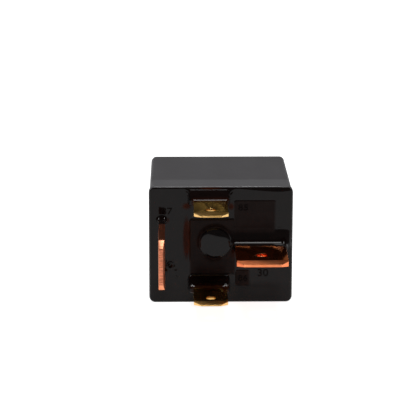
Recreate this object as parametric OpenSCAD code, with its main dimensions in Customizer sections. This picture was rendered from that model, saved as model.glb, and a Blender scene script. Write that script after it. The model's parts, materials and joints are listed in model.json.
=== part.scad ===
// Automotive relay with four blade terminals and one normally open contact, sealed with resin.
// Origin: centre of the case's open rim. +Y runs into the case, the blades point to -Y,
// +X is to the right and +Z is up as the relay lies on its long side. Lengths are millimetres.
// The magnet stands on the base: yoke, core, bobbin and winding share one axis along Y.

/* [Case] */
// Width of the case at its rim
body_w = 27.1; // [26.8:0.1:29]
// Height of the case at its rim
body_h = 22.7; // [22.2:0.1:25]
// Depth of the case from the rim to its closed end
body_d = 25.5; // [25:0.1:30]
// Thickness of the side walls at the rim
wall_t = 1.2; // [1:0.05:1.4]
// Thickness of the closed end
end_wall_t = 1.2; // [0.8:0.1:1.5]
// Radius of the four long edges
corner_r = 1.2; // [0.8:0.1:2]
// Radius of the edges round the closed end
end_r = 0.7; // [0.4:0.1:1]
// How far the rim bead stands out from the side walls
bead_h = 0.15; // [0.05:0.05:0.3]
// Length of the rim bead along the case
bead_l = 1.2; // [0.6:0.1:2]
// How far each side leans in over the depth
draft = 0.17; // [0.05:0.01:0.3]

/* [Base plate and resin] */
// Depth of the resin's face below the rim
seal_recess = 0.1; // [0.05:0.05:0.4]
// Thickness of the resin
seal_t = 1.2; // [0.9:0.1:1.3]
// How far the pads of the base plate show through the resin
pad_show = 0.12; // [0.05:0.01:0.2]
// Thickness of the base plate
base_t = 2.3; // [1.8:0.1:2.6]
// Height of the raised pads on the outside of the base plate
pad_h = 0.35; // [0.2:0.05:0.5]
// Diameter of the round boss that covers the core's end
boss_d = 6.3; // [5.6:0.1:6.8]
// How far that boss stands out of the rim
boss_out = 0.9; // [0.4:0.1:1.4]
// Radius round the boss's outer edge
boss_edge = 0.6; // [0.3:0.1:0.9]
// How far the resin climbs the upper coil blade
upper_climb = 3; // [1:0.1:3.4]
// How far the resin climbs the lower coil blade
lower_climb = 3.4; // [1:0.1:3.6]
// How far the drop of resin round a coil blade reaches
drop_reach = 1.3; // [0.8:0.1:1.6]
// How far the resin climbs the flat power blade
feed_climb = 1.5; // [0.6:0.1:2]
// Distance over which that climb falls to about a third
feed_fade = 0.3; // [0.2:0.05:0.6]
// How far the sloping collar of resin round that blade reaches
collar_reach = 2.6; // [1.6:0.1:2.8]
// Slope of that collar
collar_slope = 0.15; // [0.05:0.01:0.2]
// How far the resin climbs the upright power blade
make_climb = 0.4; // [0.2:0.1:1]
// How far the resin climbs the round boss
boss_climb = 0.7; // [0.3:0.1:0.9]
// Distance over which the other climbs fall to about a third
climb_fade = 0.5; // [0.4:0.05:0.8]
// How far the other climbs spread
climb_spread = 1.5; // [1:0.1:1.8]

/* [Blades] */
// Length of each blade outside the rim
blade_l = 12.9; // [9:0.1:15]
// Width of the two coil blades
coil_blade_w = 6.3; // [5.6:0.1:6.8]
// Thickness of the two coil blades
coil_blade_t = 0.8; // [0.6:0.05:1]
// Width of the two power blades
power_blade_w = 9.5; // [8.6:0.1:9.7]
// Thickness of the two power blades
power_blade_t = 1.2; // [1:0.05:1.3]
// Length and width of the cut-off tip corners
tip_cut = 1.3; // [0.8:0.1:1.8]
// Length of the lead-in bevels at the tip
lead_l = 1.8; // [1:0.1:2.2]
// Share of a blade's thickness that is left at the end of the tip
tip_share = 0.36; // [0.3:0.02:0.6]
// Diameter of the holes in the coil blades
coil_hole_d = 1.9; // [1.5:0.1:2.2]
// Distance of those holes from the tip
coil_hole_in = 3.45; // [3:0.05:5]
// Diameter of the holes in the power blades
power_hole_d = 2.1; // [1.6:0.1:2.6]
// Distance of those holes from the tip
power_hole_in = 5.1; // [4:0.1:6]
// Position of the coil blades across the case
coil_blade_x = -2.05; // [-2.4:0.05:-1.7]
// Gap between the upper coil blade and the wall above it
top_wall_gap = 0.7; // [0.4:0.05:0.9]
// Gap between the lower coil blade and the wall below it
bottom_wall_gap = 1.9; // [1.6:0.05:2.1]
// Gap between the upright power blade and the wall beside it
make_wall_gap = 0.65; // [0.5:0.05:0.8]
// Height of the upright power blade's middle
make_blade_z = -0.45; // [-0.8:0.05:-0.2]
// Gap between the flat power blade's edge and the wall beside it
feed_wall_gap = 0.2; // [0.1:0.05:0.4]
// Height of the flat power blade's middle
feed_blade_z = -0.3; // [-0.6:0.05:0]

/* [Magnet] */
// Position of the magnet's axis across the case
coil_x = -1.05; // [-1.3:0.05:-0.8]
// Diameter of the iron core
core_d = 6; // [5:0.1:6.4]
// Gap between the pole shoe and the arm of terminal 87
pole_gap = 0.95; // [0.7:0.05:1.4]
// Thickness of the pole shoe
pole_t = 1.2; // [0.8:0.1:1.5]
// Diameter of the core's riveted end inside the base plate
core_head_d = 5.4; // [4.6:0.1:5.8]
// Thickness of the yoke's steel
yoke_t = 1.8; // [1.5:0.1:2]
// Room between the yoke's leg and the case wall, where the return spring lies
spring_room = 2.15; // [2.1:0.05:2.3]
// Gap between the bobbin's flanges and the coil terminals' arms
flange_gap = 0.9; // [0.7:0.05:1.5]
// Room between the bobbin's flanges and the yoke's leg, where the yoke's rivets sit
rivet_room = 2.3; // [2.2:0.05:2.8]
// How far the bobbin's flanges stand out from the winding
flange_lip = 0.25; // [0.15:0.05:0.8]
// Gap between the back stop and the closed end of the case
end_gap = 0.95; // [0.4:0.05:1.4]
// Thickness of the bobbin's lower flange
flange_t = 1; // [0.8:0.1:1.2]
// Thickness of the bobbin's upper flange
top_flange_t = 0.7; // [0.6:0.05:0.8]
// Thickness of the bobbin's barrel
barrel_t = 0.65; // [0.5:0.05:0.9]
// Height of the bobbin's collar under the pole shoe
collar_h = 1.2; // [1:0.1:1.4]

/* [Armature and contacts] */
// Thickness of the armature
armature_t = 1.6; // [1.2:0.1:1.8]
// How far the armature and the yoke reach past the pole shoe on each side
pole_margin = 0.2; // [0:0.05:0.4]
// Thickness of the contact spring
leaf_t = 0.35; // [0.25:0.05:0.45]
// Width of the contact spring
leaf_w = 5.8; // [5:0.1:6]
// Opening between the contacts at rest
contact_gap = 0.8; // [0.6:0.05:0.9]
// Distance of the contacts from the middle of the upright power blade
contact_reach = 2.3; // [2.15:0.05:2.5]
// Diameter of the fixed contact
fixed_contact_d = 4; // [3.4:0.1:4.2]
// Diameter of the moving contact
moving_contact_d = 3.8; // [3:0.1:4]
// Height of the fixed contact's head
fixed_contact_h = 1; // [0.8:0.05:1.1]
// Height of the moving contact's head
moving_contact_h = 1.4; // [1.3:0.05:1.5]
// Thickness of the back stop's sheet
stop_t = 0.8; // [0.6:0.05:1]
// Width of the back stop's upright
stop_w = 3.6; // [3:0.1:4]
// Diameter of the rivets through armature and contact spring
rivet_d = 1.6; // [1.2:0.1:1.8]
// Mean diameter of the return spring
spring_d = 1.2; // [1.1:0.05:1.3]
// Diameter of the return spring's wire
spring_wire_d = 0.3; // [0.25:0.01:0.32]
// Number of turns of the return spring
spring_turns = 12; // [8:1:14]
// Diameter of the braided lead
braid_d = 1.4; // [1:0.1:1.5]
// Diameter of the coil's lead wires
lead_d = 0.2; // [0.15:0.01:0.25]

/* [Clearances] */
// Gap round pieces that are pressed or slid into the plastic
slot_fit = 0.05; // [0.03:0.01:0.08]
// Gap round rivets and other shafts in their holes
hole_fit = 0.02; // [0.01:0.01:0.04]
// Gap left between armature and pole, and between the contacts, when closed
closed_gap = 0.05; // [0.04:0.01:0.08]
// Gap beside pieces that pass each other as they move
pass_gap = 0.2; // [0.15:0.01:0.25]

/* [Hidden] */
$fn = 48;

// Half sizes of the case's inside
cavity_x = body_w / 2 - wall_t;
cavity_z = body_h / 2 - wall_t;
cavity_r = max(corner_r - wall_t, 0.4);

// Levels along Y from the rim inwards, up to the winding
seal_y = seal_recess;
base_y = seal_y + seal_t;
floor_y = base_y + base_t;
yoke_y = floor_y + power_blade_t;
bobbin_y = yoke_y + yoke_t;
winding_y = bobbin_y + flange_t;

// Levels from the closed end outwards: back stop, contact spring and closed armature
tail_h = 0.4;
stop_y = body_d - end_wall_t - end_gap - stop_t;
leaf_y = stop_y - closed_gap - contact_gap - tail_h - leaf_t;
armature_y = leaf_y - armature_t;
pole_y = armature_y - closed_gap;
collar_y = pole_y - pole_t - collar_h;
top_flange_y = collar_y - top_flange_t;
winding_l = top_flange_y - winding_y;

// Levels of the contacts when closed
contact_y = leaf_y - moving_contact_h;
fixed_top_y = contact_y - closed_gap;
arm_y = fixed_top_y - fixed_contact_h;

// Places of the blades
make_blade_x = -(cavity_x - make_wall_gap - power_blade_t / 2);
feed_blade_x = cavity_x - feed_wall_gap - power_blade_w / 2;
upper_blade_z = cavity_z - top_wall_gap - coil_blade_t / 2;
lower_blade_z = bottom_wall_gap + coil_blade_t / 2 - cavity_z;
coil_pitch = upper_blade_z - lower_blade_z;

// Height of the magnet's axis, midway between the coil blades, and the place of the contacts
coil_z = (upper_blade_z + lower_blade_z) / 2;
contact_x = make_blade_x + contact_reach;

// The yoke's leg, and the edge on its end that the armature rocks on
leg_x = cavity_x - spring_room;
pivot_x = leg_x;
pivot_y = pole_y;
open_angle = atan(contact_gap / (pivot_x - contact_x));

// Pads on the outside of the base plate: one behind the core, two beside the coil blades
core_pad = [8.5, 10.7];
core_pad_shift = [-0.55, -0.95];
side_pad_gap = 1.5;
upper_pad = [7.6, 5.2];
upper_pad_in = 1.55;
lower_pad = [2.6, 3];
lower_pad_in = 2.1;

// Block on the inside of the base plate under the free end of the yoke's foot
prop_w = 1.4;
prop_in = 0.5;
prop_h = 6.2;
core_pocket_gap = 0.4;
core_pocket_t = 0.5;

// The bent inner ends of the terminals
bend_r = 0.4;
foot_inset = 0.45;
foot_top = 7.8;
arm_w = 6;
arm_reach = 2.4;
coil_arm_w = 2.4;
post_w = 0.9;
post_l = 2.4;
tower_w = 3.8;
tower_reach = 0.55;
flange_r = 3;

// What the room round the magnet leaves for the bobbin, the winding, the pole shoe and the yoke
flange_w = min(2 * (leg_x - yoke_t - rivet_room - coil_x), coil_pitch - coil_blade_t - 2 * flange_gap);
winding_d = flange_w - 2 * flange_lip;
pole_d = 2 * (coil_x - contact_x - arm_reach - pole_gap);
armature_w = pole_d + 2 * pole_margin;
yoke_w = armature_w;

// The back stop, which the contact spring's rivet rests on when the contacts are open
stop_x = make_blade_x - power_blade_t / 2;
stop_z = make_blade_z + power_blade_w / 2 + 0.7;
stop_seat = 1.6;

// The armature's plan
ear_w = 1.4;
ear_h = armature_t;
leaf_r = 1;
leaf_slot_w = 1;
leaf_slot_l = 1.6;
heel_w = 2.6;
heel_l = 1.75;
armature_tip_x = coil_x - pole_d / 2 - 0.2;
leaf_heel_x = pivot_x - yoke_t - 2 * pass_gap;
rivet_in = 3.4;
rivet_x = pivot_x - yoke_t - rivet_in;
rivet_pitch = 3.6;
rivet_rim = 0.3;
rivet_head_h = 0.4;
yoke_rivet_d = 1.2;
yoke_rivet_head_d = 1.7;
yoke_rivet_head_h = 0.5;
yoke_rivet_x = leg_x - yoke_t - bend_r - yoke_rivet_head_d / 2 - 0.1;
yoke_rivet_z = coil_z + 1.1;
yoke_rivet_pitch = 2.3;

// The core's neck through the yoke, its riveted head and the edge breaks of its ends
core_neck_d = core_d - 1.6;
core_head_t = 0.9;
core_head_edge = 0.4;
pole_edge = 0.2;

// Shank and tail of the contact rivets, and how their heads are domed
shank_d = 2;
tail_d = 2.6;
dome_in = 0.5;
dome_h = 0.3;

// The return spring's axis, and the lug that holds its lower end
spring_x = leg_x + spring_room / 2 + 0.03;
lug_t = 1;
lug_y = winding_y + lug_t;
lug_w = 2.6;
hook_hole_d = 0.7;
spring_rise = 0.9;

module round_rect(w, h, r) {
    square([w - 2 * r, h], center = true);
    square([w, h - 2 * r], center = true);
    for (x = [-1, 1], y = [-1, 1])
        translate([x * (w / 2 - r), y * (h / 2 - r)]) circle(r);
}

// Draws children in the XZ plane and runs them along +Y
module along_y(y, length) {
    translate([0, y + length, 0]) rotate([90, 0, 0]) linear_extrude(length) children();
}

// Draws children in the YZ plane and runs them along +X
module along_x(x, length) {
    translate([x, 0, 0]) rotate([90, 0, 90]) linear_extrude(length) children();
}

// Turns a profile of (radius, y) round an axis along Y through (x, z)
module turned(x, z) {
    translate([x, 0, z]) rotate([-90, 0, 0]) rotate_extrude() children();
}

// A rod along Y
module rod(x, y, z, d, length) {
    translate([x, y, z]) rotate([-90, 0, 0]) cylinder(h = length, d = d);
}

// Turns the closed armature and what it carries back to rest, against the back stop
module at_rest() {
    translate([pivot_x, pivot_y, 0]) rotate([0, 0, -open_angle]) translate([-pivot_x, -pivot_y, 0])
        children();
}

function unit(v) = v / norm(v);
function heading(path, i) = unit(path[min(i + 1, len(path) - 1)] - path[max(i - 1, 0)]);
function square_to(v, t) = unit(v - (v * t) * t);
// The side direction of each ring, carried along the path without twist
function sides_of(path, side, i = 0) =
    let (s = square_to(side, heading(path, i)))
    i == len(path) - 1 ? [s] : concat([s], sides_of(path, s, i + 1));

// A wire swept along a path; side is any direction square to its start
module wire(path, d, side, n = 6) {
    sides = sides_of(path, side);
    points = [for (i = [0 : len(path) - 1])
        let (s = sides[i], u = cross(heading(path, i), s))
        for (k = [0 : n - 1]) path[i] + d / 2 * (cos(360 * k / n) * s + sin(360 * k / n) * u)];
    walls = [for (i = [0 : len(path) - 2], k = [0 : n - 1])
        let (a = i * n + k, b = i * n + (k + 1) % n)
        [a, a + n, b + n, b]];
    last = (len(path) - 1) * n;
    caps = [[for (k = [0 : n - 1]) k], [for (k = [n - 1 : -1 : 0]) last + k]];
    polyhedron(points, concat(walls, caps), convexity = 8);
}

// The case's outside behind its bead: leaning sides, coned long edges and a rounded closed end
module leaning_block(w, h, r) {
    translate([0, 0, -(h / 2 - r)]) linear_extrude(h - 2 * r)
        polygon([[-w / 2, 0], [w / 2, 0], [w / 2 - draft, body_d], [draft - w / 2, body_d]]);
    along_x(-(w / 2 - r), w - 2 * r)
        polygon([[0, -h / 2], [body_d, draft - h / 2], [body_d, h / 2 - draft], [0, h / 2]]);
    for (x = [-1, 1], z = [-1, 1])
        translate([x * (w / 2 - r), 0, z * (h / 2 - r)]) rotate([-90, 0, 0])
            cylinder(h = body_d, r1 = r, r2 = r - draft);
}

// Outline that rounds the closed end; w is the width there
module end_outline(w) {
    ease = 0.02;
    half = w / 2 + ease - end_r;
    translate([-w, -1]) square([2 * w, body_d - end_r + 1]);
    translate([-half, 0]) square([2 * half, body_d]);
    for (x = [-1, 1]) translate([x * half, body_d - end_r]) circle(end_r);
}

module cover() {
    w = body_w - 2 * bead_h;
    h = body_h - 2 * bead_h;
    color([0.16, 0.16, 0.17])
    difference() {
        union() {
            intersection() {
                leaning_block(w, h, corner_r);
                translate([0, 0, -h]) linear_extrude(2 * h) end_outline(w - 2 * draft);
                translate([-w, 0, 0]) rotate([90, 0, 90]) linear_extrude(2 * w)
                    rotate(-90) mirror([1, 0]) end_outline(h - 2 * draft);
            }
            along_y(0, bead_l) round_rect(body_w, body_h, corner_r);
        }
        along_y(-1, body_d - end_wall_t + 1)
            round_rect(2 * cavity_x, 2 * cavity_z, cavity_r);
    }
}

// Cross-sections of the pieces that pass through the base plate, grown by a clearance
module blade_sections(fit) {
    for (side = [-1, 1]) translate([coil_blade_x, coil_z + side * coil_pitch / 2])
        square([coil_blade_w + 2 * fit, coil_blade_t + 2 * fit], center = true);
    translate([make_blade_x, make_blade_z])
        square([power_blade_t + 2 * fit, power_blade_w + 2 * fit], center = true);
    translate([feed_blade_x, feed_blade_z])
        square([power_blade_w + 2 * fit, power_blade_t + 2 * fit], center = true);
}

// Raised pads on the outside of the base plate
module pad_outlines() {
    pads_x = coil_blade_x + coil_blade_w / 2 + side_pad_gap;
    translate([coil_x, coil_z] + core_pad_shift) square(core_pad, center = true);
    translate([pads_x, cavity_z - upper_pad_in - upper_pad[1]]) square(upper_pad);
    translate([pads_x, lower_pad_in - cavity_z]) square(lower_pad);
}

// Round boss with a rounded edge, in line with the core
module boss() {
    r = boss_d / 2;
    turned(coil_x, coil_z) {
        translate([0, -boss_out]) square([r - boss_edge, base_y + boss_out]);
        translate([0, boss_edge - boss_out]) square([r, base_y + boss_out - boss_edge]);
        intersection() {
            translate([r - boss_edge, boss_edge - boss_out]) circle(boss_edge);
            translate([r - boss_edge, -boss_out]) square(boss_edge);
        }
    }
}

module base_plate() {
    color([0.2, 0.19, 0.19])
    difference() {
        union() {
            along_y(base_y, base_t) round_rect(
                2 * (cavity_x - slot_fit), 2 * (cavity_z - slot_fit), cavity_r - slot_fit);
            along_y(base_y - pad_h, pad_h + 0.1) difference() {
                pad_outlines();
                blade_sections(slot_fit);
            }
            boss();
            // Block under the free end of the yoke's foot
            along_y(floor_y - 0.1, power_blade_t + 0.1)
                translate([coil_x - yoke_w / 2 + prop_in, coil_z]) square([prop_w, prop_h], center = true);
        }
        along_y(base_y - 1, base_t + 2) blade_sections(slot_fit);
        // Pocket behind the core's riveted end
        rod(coil_x, floor_y - core_pocket_t, coil_z, core_head_d + 2 * core_pocket_gap, 1);
        // Blind slot that holds the back stop
        along_y(floor_y - stop_seat - slot_fit, stop_seat + 1)
            translate([stop_x - slot_fit, stop_z - slot_fit])
                square([stop_t + 2 * slot_fit, stop_w + 2 * slot_fit]);
    }
}

// Section of a resin mound, height over distance; heights are taken at even steps out to its reach
function mound_profile(reach, heights) = let (last = len(heights) - 1) concat(
    [[0, 0.1]], [for (i = [0 : last]) [reach * i / last, -heights[i]]], [[reach, 0.1]]);
// A fat drop, flat on top and steep at its foot
function drop_profile(rise) =
    mound_profile(drop_reach, [for (i = [0 : 8]) rise * pow(1 - pow(i / 8, 1.5), 2 / 3)]);
// A hollow climb that fades out
function climb_profile(rise) = let (foot = exp(-climb_spread / climb_fade))
    mound_profile(climb_spread, [for (i = [0 : 8])
        rise * (exp(-climb_spread * i / 8 / climb_fade) - foot) / (1 - foot)]);
// A hollow climb on a sloping collar
function collar_profile(rise) = mound_profile(collar_reach, [for (i = [0 : 12])
    let (d = collar_reach * i / 12) collar_slope * (collar_reach - d) + rise * exp(-d / feed_fade)]);

// Resin that climbs a blade of w by t; the mound rises from the resin's face to -Y
module climb(w, t, profile) {
    for (turn = [0, 180]) rotate([0, turn, 0]) {
        translate([-w / 2, seal_y, t / 2]) rotate([0, 90, 0]) linear_extrude(w)
            polygon([for (p = profile) [-p[0], p[1]]]);
        translate([w / 2, seal_y, -t / 2]) linear_extrude(t) polygon(profile);
    }
    for (x = [-1, 1], z = [-1, 1]) translate([x * w / 2, seal_y, z * t / 2])
        rotate([-90, 0, 0]) rotate_extrude($fn = 24) polygon(profile);
}

module resin_seal() {
    color([0.06, 0.06, 0.07])
    difference() {
        union() {
            along_y(seal_y, seal_t) round_rect(2 * cavity_x, 2 * cavity_z, cavity_r);
            along_y(seal_y - pad_show, pad_show + 0.1) pad_outlines();
            intersection() {
                union() {
                    translate([coil_blade_x, 0, upper_blade_z])
                        climb(coil_blade_w, coil_blade_t, drop_profile(upper_climb));
                    translate([coil_blade_x, 0, lower_blade_z])
                        climb(coil_blade_w, coil_blade_t, drop_profile(lower_climb));
                    translate([feed_blade_x, 0, feed_blade_z])
                        climb(power_blade_w, power_blade_t, collar_profile(feed_climb));
                    translate([make_blade_x, 0, make_blade_z])
                        climb(power_blade_t, power_blade_w, climb_profile(make_climb));
                    turned(coil_x, coil_z) translate([boss_d / 2 - 0.01, seal_y])
                        polygon(climb_profile(boss_climb));
                }
                along_y(-blade_l, 2 * blade_l)
                    square([2 * cavity_x - 0.04, 2 * cavity_z - 0.04], center = true);
            }
        }
        along_y(-blade_l, 2 * blade_l) blade_sections(0);
        along_y(base_y - pad_h, pad_h + 1) pad_outlines();
        rod(coil_x, -blade_l, coil_z, boss_d, 2 * blade_l);
    }
}

// A blade in the XY plane, from its tip to y = inner, with cut corners, lead-in bevels and a hole
module blade(w, t, inner, hole_d, hole_in) {
    tip = t * tip_share / 2;
    difference() {
        intersection() {
            translate([0, 0, -t / 2]) linear_extrude(t) polygon([
                [-w / 2, inner], [-w / 2, tip_cut - blade_l], [tip_cut - w / 2, -blade_l],
                [w / 2 - tip_cut, -blade_l], [w / 2, tip_cut - blade_l], [w / 2, inner]]);
            along_x(-w / 2 - 1, w + 2) polygon([
                [inner, -t / 2], [inner, t / 2], [lead_l - blade_l, t / 2],
                [-blade_l, tip], [-blade_l, -tip], [lead_l - blade_l, -t / 2]]);
        }
        translate([0, hole_in - blade_l, -t]) cylinder(h = 2 * t, d = hole_d);
    }
}

// Right-angled strip in its own plane: from (0, 0) up to (0, rise), then over to (reach, rise)
module bent_strip(rise, reach, t) {
    outer = bend_r + t;
    difference() {
        union() {
            translate([0, -0.1]) square([t, rise - outer + 0.1]);
            translate([outer, rise - t]) square([reach - outer, t]);
            intersection() {
                translate([outer, rise - outer]) circle(outer);
                translate([0, rise - outer]) square(outer);
            }
        }
        translate([outer, rise - outer]) circle(bend_r);
    }
}

module terminal_30() {
    foot_w = power_blade_w - 2 * foot_inset;
    bottom = feed_blade_z - power_blade_t / 2;
    color([0.78, 0.42, 0.28])
    difference() {
        union() {
            translate([feed_blade_x, 0, feed_blade_z])
                blade(power_blade_w, power_blade_t, floor_y - 0.1, power_hole_d, power_hole_in);
            along_x(feed_blade_x - foot_w / 2, foot_w) translate([0, bottom])
                foot_outline(foot_top - bottom);
        }
        yoke_rivet_rods(yoke_rivet_d + 2 * hole_fit);
    }
}

// Section of the foot of terminal 30, which turns up behind the base plate
module foot_outline(rise) {
    round_r = power_blade_t - 0.2;
    translate([floor_y - 0.2, 0]) square([power_blade_t + 0.2 - round_r, power_blade_t]);
    translate([floor_y, power_blade_t - 0.1]) square([power_blade_t, rise - power_blade_t + 0.1]);
    translate([yoke_y - round_r, round_r]) square([round_r, power_blade_t - round_r]);
    intersection() {
        translate([yoke_y - round_r, round_r]) circle(round_r);
        translate([yoke_y - round_r, 0]) square(round_r);
    }
}

module terminal_87() {
    color([0.78, 0.42, 0.28])
    difference() {
        union() {
            translate([make_blade_x, 0, make_blade_z]) rotate([0, 90, 0])
                blade(power_blade_w, power_blade_t, floor_y, power_hole_d, power_hole_in);
            translate([stop_x, floor_y, coil_z - arm_w / 2]) linear_extrude(arm_w)
                bent_strip(arm_y - floor_y, contact_x + arm_reach - stop_x, power_blade_t);
        }
        rod(contact_x, arm_y - power_blade_t - 1, coil_z, shank_d + 2 * hole_fit, power_blade_t + 2);
    }
}

// Outline of a coil terminal's inner end: shoulder, arm and the post that the wire is wrapped on
module coil_arm() {
    shoulder = floor_y + 0.8;
    translate([-coil_blade_w / 2, floor_y - 0.2]) square([coil_blade_w, shoulder - floor_y + 0.2]);
    translate([-coil_arm_w / 2, floor_y]) square([coil_arm_w, winding_y - floor_y]);
    translate([-post_w / 2, floor_y]) square([post_w, winding_y + post_l - floor_y]);
}

module coil_terminal(side) {
    color([0.85, 0.68, 0.32])
    translate([coil_blade_x, 0, coil_z + side * coil_pitch / 2]) {
        blade(coil_blade_w, coil_blade_t, floor_y, coil_hole_d, coil_hole_in);
        translate([0, 0, -coil_blade_t / 2]) linear_extrude(coil_blade_t) coil_arm();
    }
}

module terminal_85() coil_terminal(1);

module terminal_86() coil_terminal(-1);

// Places of the rivets that hold terminal 30 to the yoke
module yoke_rivet_rods(d) {
    for (i = [0, 1])
        rod(yoke_rivet_x, floor_y, yoke_rivet_z + i * yoke_rivet_pitch, d, power_blade_t + yoke_t);
}

module yoke() {
    foot_x = coil_x - yoke_w / 2;
    color([0.66, 0.67, 0.7])
    difference() {
        union() {
            translate([leg_x, yoke_y, coil_z - yoke_w / 2]) linear_extrude(yoke_w)
                mirror([1, 0]) yoke_outline(leg_x - foot_x, pole_y - yoke_y);
            // Ears that guide the armature's heel
            for (side = [-1, 1])
                translate([leg_x - yoke_t, pole_y - 0.1, coil_z + side * (yoke_w - ear_w) / 2 - ear_w / 2])
                    cube([yoke_t, ear_h + 0.1, ear_w]);
            // Lug for the return spring
            translate([leg_x - 0.1, lug_y, coil_z - lug_w / 2]) cube([heel_l + 0.1, lug_t, lug_w]);
        }
        rod(coil_x, yoke_y - 1, coil_z, core_neck_d + 2 * hole_fit, yoke_t + 2);
        yoke_rivet_rods(yoke_rivet_d + 2 * hole_fit);
        rod(spring_x, lug_y - 1, coil_z, hook_hole_d, lug_t + 2);
    }
}

// The yoke's section from its leg's outer face: the leg up Y, the foot across
module yoke_outline(reach, rise) {
    outer = yoke_t + bend_r;
    difference() {
        union() {
            translate([0, outer]) square([yoke_t, rise - outer]);
            translate([outer, 0]) square([reach - outer, yoke_t]);
            intersection() {
                translate([outer, outer]) circle(outer);
                square(outer);
            }
        }
        translate([outer, outer]) circle(bend_r);
    }
}

module yoke_rivets() {
    color([0.72, 0.72, 0.74]) {
        yoke_rivet_rods(yoke_rivet_d);
        for (i = [0, 1])
            rod(yoke_rivet_x, bobbin_y, yoke_rivet_z + i * yoke_rivet_pitch,
                yoke_rivet_head_d, yoke_rivet_head_h);
    }
}

// Iron core: riveted end, neck through the yoke, round bar and pole shoe
module core() {
    color([0.6, 0.61, 0.64])
    turned(coil_x, coil_z) polygon([
        [0, yoke_y - core_head_t], [core_head_d / 2 - core_head_edge, yoke_y - core_head_t],
        [core_head_d / 2, yoke_y - core_head_t + core_head_edge],
        [core_head_d / 2, yoke_y], [core_neck_d / 2, yoke_y], [core_neck_d / 2, bobbin_y],
        [core_d / 2, bobbin_y], [core_d / 2, pole_y - pole_t], [pole_d / 2, pole_y - pole_t],
        [pole_d / 2, pole_y - pole_edge], [pole_d / 2 - pole_edge, pole_y], [0, pole_y]]);
}

// Flanges are square with rounded corners; two towers hold the coil terminals
module bobbin() {
    bore = core_d / 2 + slot_fit;
    barrel = bore + barrel_t;
    arm_z = coil_pitch / 2;
    color([0.84, 0.8, 0.7])
    difference() {
        union() {
            translate([coil_x, 0, coil_z]) {
                along_y(bobbin_y, flange_t) round_rect(flange_w, flange_w, flange_r);
                along_y(top_flange_y, top_flange_t) round_rect(flange_w, flange_w, flange_r);
            }
            rod(coil_x, bobbin_y, coil_z, 2 * barrel, collar_y - bobbin_y);
            rod(coil_x, collar_y - 0.1, coil_z, pole_d + 0.4, collar_h + 0.1);
            for (side = [-1, 1]) {
                reach = arm_z + coil_blade_t / 2 + tower_reach - flange_w / 2 + 1;
                along_y(bobbin_y, flange_t)
                    translate([coil_blade_x, coil_z + side * (flange_w / 2 - 1 + reach / 2)])
                        square([tower_w, reach], center = true);
            }
        }
        rod(coil_x, bobbin_y - 1, coil_z, 2 * bore, pole_y);
        for (side = [-1, 1]) along_y(bobbin_y - 1, flange_t + 2)
            translate([coil_blade_x, coil_z + side * arm_z])
                square([coil_arm_w + 2 * slot_fit, coil_blade_t + 2 * slot_fit], center = true);
    }
}

module winding() {
    inner = core_d / 2 + slot_fit + barrel_t + slot_fit;
    color([0.72, 0.36, 0.2])
    turned(coil_x, coil_z) translate([inner, winding_y + slot_fit])
        square([winding_d / 2 - inner, winding_l - 2 * slot_fit]);
}

// End of the winding's wire: from the winding's rim to a coil for three turns round the post
module coil_lead(side) {
    turns = 3;
    steps = 8;
    post_z = coil_z + side * coil_pitch / 2;
    wrap_r = norm([post_w, coil_blade_t]) / 2 + lead_d / 2 + 0.02;
    wrap_y = winding_y + 0.5;
    start = [[coil_x - 0.4, winding_y + 0.6, coil_z + side * (winding_d / 2 + lead_d / 2 + 0.02)],
        [coil_x - 0.2, winding_y + 0.45, coil_z + side * (winding_d / 2 + lead_d / 2 + 0.2)]];
    coil = [for (i = [0 : turns * steps]) let (a = 360 * i / steps)
        [coil_blade_x + wrap_r * cos(a), wrap_y + 0.3 * i / steps, post_z - side * wrap_r * sin(a)]];
    color([0.72, 0.36, 0.2]) wire(concat(start, coil), lead_d, [0, 1, 0]);
}

module coil_lead_85() coil_lead(1);

module coil_lead_86() coil_lead(-1);

// Contact rivet: tail, shank through its carrier and a domed head; up points the head to +Y
module contact(y, carrier_t, head_d, head_h, up) {
    color([0.8, 0.8, 0.78])
    translate([0, y, 0]) scale_y(up) turned(contact_x, coil_z) polygon([
        [0, -carrier_t - tail_h], [tail_d / 2, -carrier_t - tail_h], [tail_d / 2, -carrier_t],
        [shank_d / 2, -carrier_t], [shank_d / 2, 0], [head_d / 2, 0],
        [head_d / 2, head_h - dome_h], [head_d / 2 - dome_in, head_h], [0, head_h]]);
}

module scale_y(up) {
    if (up) children();
    else mirror([0, 1, 0]) children();
}

module fixed_contact() contact(arm_y, power_blade_t, fixed_contact_d, fixed_contact_h, true);

module moving_contact() at_rest()
    contact(leaf_y, leaf_t, moving_contact_d, moving_contact_h, false);

// Upright from the base plate with its end bent over the contact spring
module back_stop() {
    top = stop_y + stop_t;
    bottom = floor_y - stop_seat;
    plate_x = contact_x + 1.8 - stop_x;
    color([0.85, 0.68, 0.32])
    intersection() {
        translate([stop_x, bottom, coil_z - 2.2]) linear_extrude(stop_z + stop_w - coil_z + 2.2)
            bent_strip(top - bottom, plate_x, stop_t);
        union() {
            along_y(bottom, top - bottom) translate([stop_x - 1, stop_z]) square([stop_t + 2, stop_w]);
            along_y(stop_y - bend_r - 0.2, 3) translate([stop_x + stop_t + bend_r, coil_z - 2.2])
                square([plate_x, stop_z + stop_w - coil_z + 2.2]);
            along_y(stop_y - bend_r - 0.2, 3) translate([stop_x - 1, stop_z])
                square([plate_x, stop_w]);
        }
    }
}

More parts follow.
